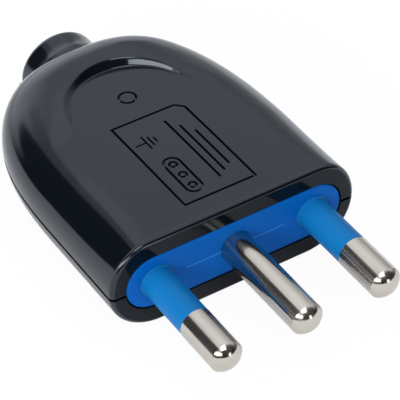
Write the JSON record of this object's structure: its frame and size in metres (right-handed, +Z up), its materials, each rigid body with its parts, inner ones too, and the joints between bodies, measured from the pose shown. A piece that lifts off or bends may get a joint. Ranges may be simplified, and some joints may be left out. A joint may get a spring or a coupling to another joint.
{
  "type": "power plug",
  "caption": "Rewireable mains plug with a row of round pins, a blue pin carrier in a rounded black two-part case with a thumb panel, and a short cord guard at the back.",
  "frame": {"origin": "on the earth pin's axis, in the plane of the engagement face", "axes": "+X along the row of pins, pins point along -Y, cord leaves along +Y, +Z up through the thumb panel"},
  "size_m": [0.0406, 0.0699, 0.0162],
  "materials": {
    "case_black": "gloss moulded",
    "carrier_blue": "semi-gloss moulded",
    "sleeve_blue": "semi-gloss moulded",
    "pin_nickel": "polished nickel plate",
    "guard_black": "satin",
    "clamp_black": "matte",
    "screw_steel": "zinc plated"
  },
  "bodies": {
    "root": {"upper_shell": "case_black", "lower_shell": "case_black", "pin_carrier": "carrier_blue", "live_pin": "pin_nickel", "neutral_pin": "pin_nickel", "earth_pin": "pin_nickel", "live_sleeve": "sleeve_blue", "neutral_sleeve": "sleeve_blue", "terminal_screws": "screw_steel", "cord_guard": "guard_black", "cord_clamp": "clamp_black", "clamp_screws": "screw_steel", "case_screws": "screw_steel", "case_nuts": "screw_steel"}
  },
  "joints": []
}
